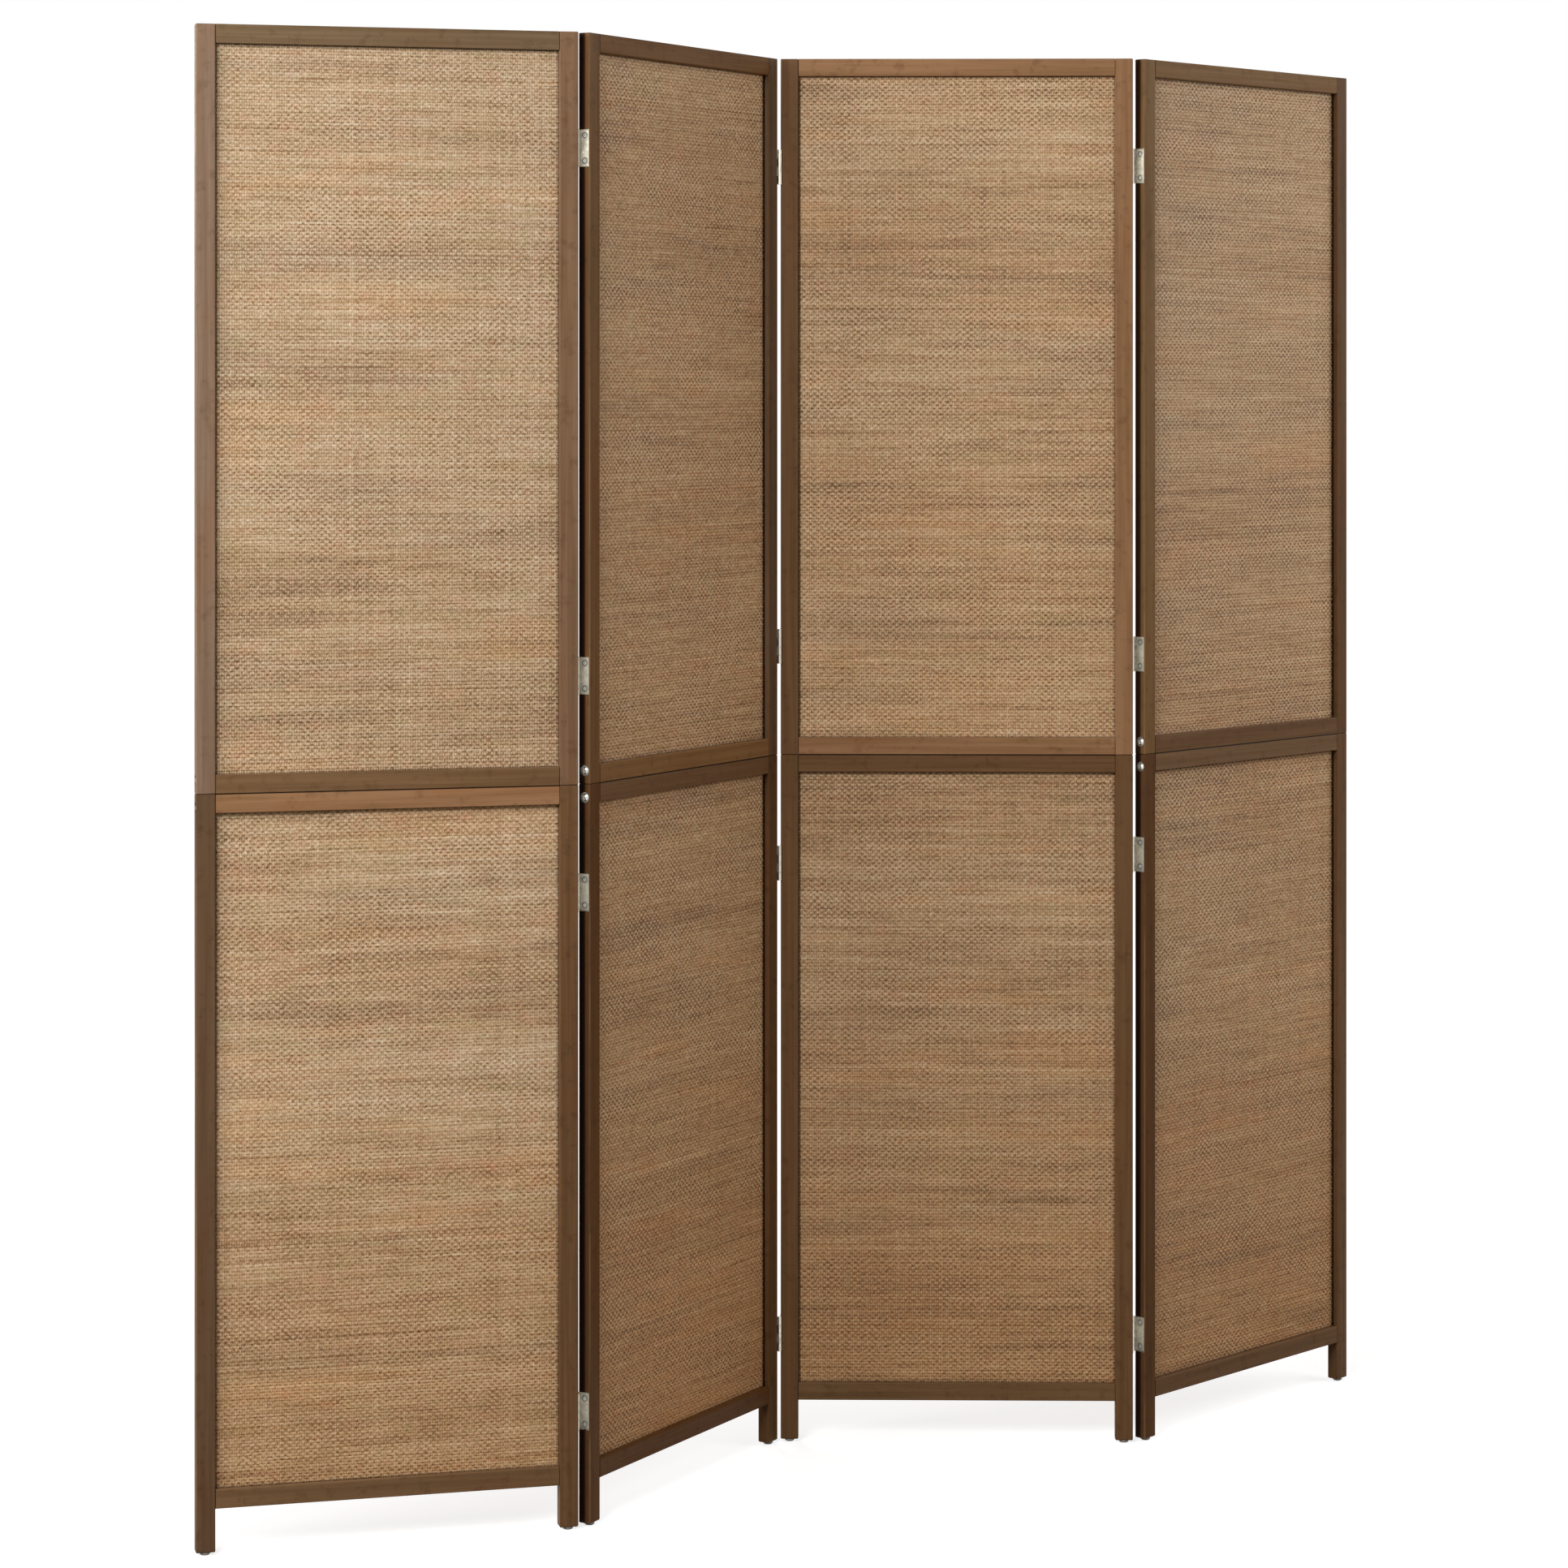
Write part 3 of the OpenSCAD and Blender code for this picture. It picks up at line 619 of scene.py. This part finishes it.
def wood(name, p, part, side, seed):
    """Stained wood of one stile or rail, with the grain along it."""
    g = Graph(name)
    upright = side.endswith("stile")
    local = panel_vector(g, p)
    offset = tuple(np.random.RandomState(seed).uniform(-9, 9, 3))
    fine, wide, patch = GRAIN_UP if upright else GRAIN_ALONG
    pores = g.noise(g.place(offset, scale=fine, vector=local), 3.0, 0.65)
    grain = g.noise(g.place(offset, scale=wide, vector=local), 4.0, 0.6, 0.4)
    stain = g.noise(g.place(offset, scale=patch, vector=local), 3.0, 0.55)
    cloud = g.noise(g.place(offset, scale=(70, 70, 70), vector=local), 3.0, 0.6)
    colour = srgb(*WOODS[STAINS[p, part].split()[PIECES.index(side)]])
    colour = g.tint(g.span(grain, 0.32, 0.68, 0.75, 0.0), colour, 216, 208, 200)
    colour = g.tint(g.span(stain, 0.54, 0.74, 0, 0.5), colour, 255, 226, 206)
    colour = g.tint(g.span(stain, 0.46, 0.26, 0, 0.5), colour, 222, 226, 206)
    colour = g.tint(g.span(cloud, 0.52, 0.74, 0, 0.55), colour, 206, 198, 190)
    colour = g.paint(g.span(pores, 0.56, 0.74, 0, 0.28), colour, 62, 42, 28)
    x, y, z = g.axes(local)
    seam = g.away(z, SEAM_Z * MM)
    if upright:
        colour = stile_marks(g, colour, x, y, seam, stain, side, p)
    else:
        colour = rail_marks(g, colour, x, seam)
    height = g.add(g.mul(pores, 0.6), grain)
    rough = g.span(pores, 0.35, 0.7, 0.42, 0.62)
    return g.finish(colour, rough, g.bump(height, 0.00012, 0.35), Specular_IOR_Level=0.07)


# ---------------------------------------------------------------- metal and plastic

# The heights of the hinges with pins at the back and in front, and where their screws are
HINGE_Z = {"back": (139.0, 764.0, 1025.0, 1661.0), "front": (141.0, 753.5, 1035.5, 1659.0)}
HINGE_SCREW_Y = {"back": 6.8, "front": 9.2}
HINGE_SCREW_Z = 15.5
# Rings about a screw's axis: the shadow on the leaf, the head's rim, and what is still the head's
LEAF_RING, HEAD_RIM, HEAD_REACH = (3.5, 4.3), (2.3, 2.9), 5.0
# The side of the panel on which its left and right hinges have their pins
HINGE_SIDES = {1: ("back", "back"), 2: ("back", "front"), 3: ("front", "back"), 4: ("back", "back")}


def from_hinge_screw(g, y, z, side):
    """The distance from the axis of the nearest hinge screw."""
    near = None
    for hinge_z in HINGE_Z[side]:
        away = g.away(z, hinge_z * MM)
        near = away if near is None else g.math("MINIMUM", near, away)
    up = g.sub(near, HINGE_SCREW_Z * MM)
    back = g.sub(y, HINGE_SCREW_Y[side] * MM)
    return g.math("SQRT", g.add(g.mul(up, up), g.mul(back, back)))


def screw_ring(g, local, p, kind):
    """The shadow line round the hinge screws, on the leaves or on the heads' own rims."""
    x, y, z = g.axes(local)
    left, right = HINGE_SIDES[p]
    away = from_hinge_screw(g, y, z, left)
    if right != left:
        on_right = g.math("GREATER_THAN", x, PANEL_W / 2 * MM)
        other = from_hinge_screw(g, y, z, right)
        away = g.add(away, g.mul(on_right, g.sub(other, away)))
    if kind == "leaves":
        return g.span(away, LEAF_RING[0] * MM, LEAF_RING[1] * MM, 0.8, 0.0)
    rim = g.span(away, HEAD_RIM[0] * MM, HEAD_RIM[1] * MM, 0.0, 0.7)
    return g.mul(rim, g.math("LESS_THAN", away, HEAD_REACH * MM))


def zinc(name, p, kind, seed):
    """Bright zinc plate with a fine rolled grain and a few dull clouds."""
    g = Graph(name)
    local = panel_vector(g, p)
    offset = tuple(np.random.RandomState(seed).uniform(-9, 9, 3))
    rolled = g.noise(g.place(offset, scale=(2400, 2400, 160), vector=local), 3.0, 0.6)
    cloud = g.noise(g.place(offset, scale=(150, 150, 150), vector=local), 3.0, 0.6)
    if kind == "leaves":
        bright, dull = srgb(208, 204, 194), srgb(180, 176, 164)
    else:
        bright, dull = srgb(218, 217, 212), srgb(184, 183, 176)
    colour = g.mix(g.span(cloud, 0.35, 0.7), bright, dull)
    colour = g.paint(g.span(rolled, 0.55, 0.75, 0, 0.35), colour, 140, 137, 126)
    if kind != "pins":
        colour = g.paint(screw_ring(g, local, p, kind), colour, 74, 70, 62)
    rough = g.span(cloud, 0.3, 0.7, 0.24, 0.42)
    return g.finish(colour, rough, g.bump(rolled, 0.00003, 0.4), Metallic=1.0)


def grey_plastic():
    g = Graph("glide_grey")
    local = g.place()
    mottle = g.noise(g.place(scale=(900, 900, 900), vector=local), 3.0, 0.6)
    scuff = g.noise(g.place(scale=(260, 260, 900), vector=local), 2.0, 0.6)
    colour = g.mix(g.span(mottle, 0.35, 0.7), srgb(150, 148, 145), srgb(172, 170, 166))
    colour = g.paint(g.span(scuff, 0.58, 0.72, 0, 0.5), colour, 112, 108, 104)
    rough = g.span(mottle, 0.3, 0.7, 0.45, 0.6)
    return g.finish(colour, rough, g.bump(mottle, 0.00005, 0.4), Specular_IOR_Level=0.4)


def dress_cad():
    """A material for each CAD node that shows, by its name."""
    glide = grey_plastic()
    for name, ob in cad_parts.items():
        if ob.hide_render:
            continue
        words = name.split("_")
        seed = sum(map(ord, name))
        if name.startswith("hinge_"):
            look = zinc(f"zinc_{name}", int(words[1][0]), "pins", seed)
        elif "glides" in name:
            look = glide
        elif "stile" in name or "rail" in name:
            look = wood(f"wood_{name}", int(words[1]), words[2], "_".join(words[3:]), seed * 7)
        else:
            look = zinc(f"zinc_{name}", int(words[1]), words[-1], seed)
        ob.data.materials.clear()
        ob.data.materials.append(look)
        for poly in ob.data.polygons:
            poly.material_index = 0


# ---------------------------------------------------------------- studio

AMBIENT = 0.03
FLOOR_HALF = 40.0
# What the floor gives back to the object, and what the camera sees of it
FLOOR_BOUNCE = (0.30, 0.25, 0.19, 1)
FLOOR_PALE = (0.55, 0.55, 0.55, 1)
# The floor's own white grows from the object outwards, so its shadow stays
FLOOR_GLOW = (("From Min", 1.0), ("From Max", 3.2), ("To Min", 0.72), ("To Max", 1.0))
WARM_WHITE = (1.0, 0.99, 0.97)
WHITE = (1.0, 1.0, 1.0)
AIM = (0.0, 0.0, 0.9)
# Name, place, size, power and colour
LAMPS = (
    ("key_softbox", (-1.3, -3.35, 2.6), (1.4, 1.4), 96.0, WARM_WHITE),
    ("left_softbox", (-2.8, -2.2, 2.4), (1.6, 1.4), 62.0, WARM_WHITE),
    ("right_softbox", (3.6, -0.6, 2.4), (1.8, 1.6), 36.0, WHITE),
    ("far_right_softbox", (3.4, 0.9, 2.4), (1.8, 1.6), 31.0, WHITE),
    ("back_softbox", (-1.6, 3.6, 2.5), (1.8, 1.6), 75.0, WARM_WHITE),
)
# The camera of the photograph: level, with the rise that its framing needs
CAMERA_PLACE = (0.048344, -5.252565, 1.37337)
CAMERA_TURN = 0.987
CAMERA_LENS = 94.22
CAMERA_SENSOR = 36.0
CAMERA_CLIP = 200.0
CAMERA_SHIFT_Y = -0.2534


def mixed_by_ray(tree, other, seen):
    """seen for what the camera, gloss and glass look at, and other for the rest."""
    path = tree.nodes.new("ShaderNodeLightPath")
    add = tree.nodes.new("ShaderNodeMath")
    add.operation = "ADD"
    tree.links.new(path.outputs["Is Camera Ray"], add.inputs[0])
    tree.links.new(path.outputs["Is Glossy Ray"], add.inputs[1])
    more = tree.nodes.new("ShaderNodeMath")
    more.operation = "ADD"
    more.use_clamp = True
    tree.links.new(add.outputs[0], more.inputs[0])
    tree.links.new(path.outputs["Is Transmission Ray"], more.inputs[1])
    mix = tree.nodes.new("ShaderNodeMixShader")
    tree.links.new(more.outputs[0], mix.inputs[0])
    tree.links.new(other, mix.inputs[1])
    tree.links.new(seen, mix.inputs[2])
    return mix.outputs[0]


def build_world():
    world = bpy.data.worlds.new("studio")
    bpy.context.scene.world = world
    world.use_nodes = True
    tree = world.node_tree
    fill = tree.nodes["Background"]
    fill.inputs["Color"].default_value = (1.0, 0.98, 0.95, 1)
    fill.inputs["Strength"].default_value = AMBIENT
    white = tree.nodes.new("ShaderNodeBackground")
    white.inputs["Color"].default_value = (1, 1, 1, 1)
    white.inputs["Strength"].default_value = 1.0
    out = tree.nodes["World Output"]
    tree.links.new(mixed_by_ray(tree, fill.outputs[0], white.outputs[0]), out.inputs["Surface"])


def floor_material():
    mat = bpy.data.materials.new("floor_white")
    mat.use_nodes = True
    tree = mat.node_tree
    tree.nodes.remove(tree.nodes["Principled BSDF"])
    plain = tree.nodes.new("ShaderNodeBsdfDiffuse")
    plain.inputs["Color"].default_value = FLOOR_BOUNCE
    pale = tree.nodes.new("ShaderNodeBsdfDiffuse")
    pale.inputs["Color"].default_value = FLOOR_PALE
    glow = tree.nodes.new("ShaderNodeEmission")
    reach = tree.nodes.new("ShaderNodeVectorMath")
    reach.operation = "LENGTH"
    tree.links.new(tree.nodes.new("ShaderNodeTexCoord").outputs["Object"], reach.inputs[0])
    fade = tree.nodes.new("ShaderNodeMapRange")
    for key, value in FLOOR_GLOW:
        fade.inputs[key].default_value = value
    tree.links.new(reach.outputs["Value"], fade.inputs["Value"])
    tree.links.new(fade.outputs["Result"], glow.inputs["Strength"])
    both = tree.nodes.new("ShaderNodeAddShader")
    tree.links.new(pale.outputs[0], both.inputs[0])
    tree.links.new(glow.outputs[0], both.inputs[1])
    out = tree.nodes["Material Output"]
    tree.links.new(mixed_by_ray(tree, plain.outputs[0], both.outputs[0]), out.inputs["Surface"])
    return mat


def build_floor():
    half = FLOOR_HALF
    me = bpy.data.meshes.new("floor")
    corners = [(-half, -half, 0), (half, -half, 0), (half, half, 0), (-half, half, 0)]
    me.from_pydata(corners, [], [(0, 1, 2, 3)])
    me.materials.append(floor_material())
    ob = bpy.data.objects.new("floor", me)
    bpy.context.scene.collection.objects.link(ob)


def build_lamps():
    for name, place, size, power, colour in LAMPS:
        data = bpy.data.lights.new(name, "AREA")
        data.shape = "RECTANGLE"
        data.size, data.size_y = size
        data.energy = power
        data.color = colour
        lamp = bpy.data.objects.new(name, data)
        bpy.context.scene.collection.objects.link(lamp)
        lamp.location = place
        lamp.rotation_euler = (Vector(place) - Vector(AIM)).to_track_quat("Z", "Y").to_euler()


def build_camera():
    data = bpy.data.cameras.new("camera")
    data.sensor_width = CAMERA_SENSOR
    data.lens = CAMERA_LENS
    data.shift_y = CAMERA_SHIFT_Y
    data.clip_end = CAMERA_CLIP
    cam = bpy.data.objects.new("camera", data)
    bpy.context.scene.collection.objects.link(cam)
    cam.location = CAMERA_PLACE
    cam.rotation_euler = (math.radians(90), 0, math.radians(CAMERA_TURN))
    bpy.context.scene.camera = cam


build_camera()
for p in PANELS:
    for part in SECTIONS:
        build_mat(p, part)
dress_cad()
build_world()
build_floor()
build_lamps()
bpy.context.scene.view_settings.view_transform = "Standard"
